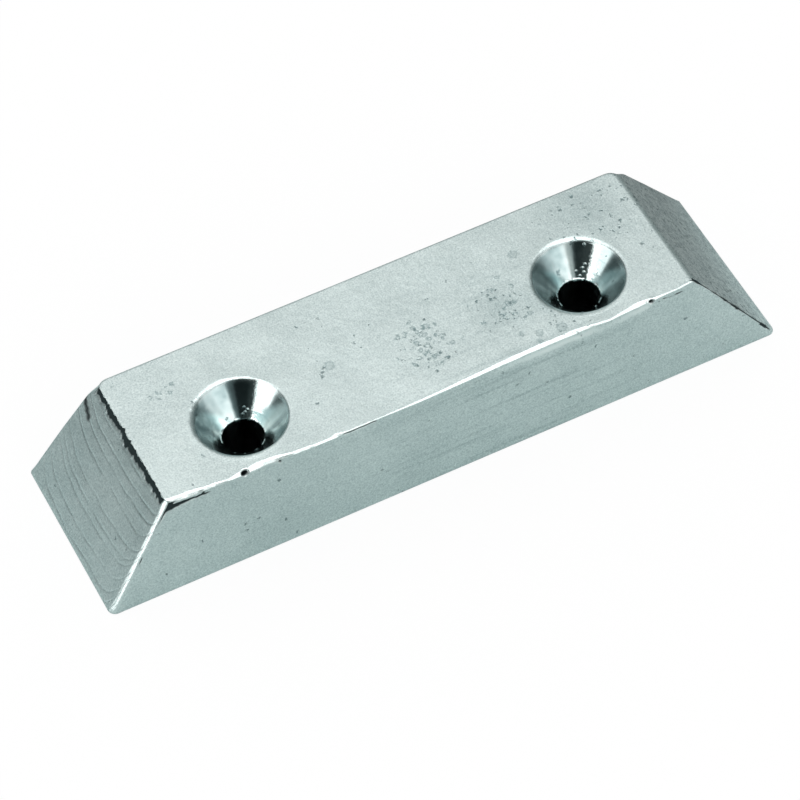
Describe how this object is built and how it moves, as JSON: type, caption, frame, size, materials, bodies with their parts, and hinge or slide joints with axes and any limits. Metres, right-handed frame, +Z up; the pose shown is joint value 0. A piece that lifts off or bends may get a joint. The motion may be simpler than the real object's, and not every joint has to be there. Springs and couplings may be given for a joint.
{
  "type": "sacrificial anode",
  "caption": "Cast bar anode with leaning sides and ends and countersunk screw holes, fastened flat to a boat's underwater metal so that it corrodes first.",
  "frame": {"origin": "middle of the flat back, on the surface that the bar is fastened to", "axes": "+X along the bar towards its right end, +Y across it towards the long side further from the holes, +Z up out of the countersunk face"},
  "size_m": [0.1398, 0.038, 0.022],
  "materials": {
    "cast_zinc": "as cast, smooth and dull bright"
  },
  "bodies": {
    "root": {"anode_bar": "cast_zinc"}
  },
  "joints": []
}
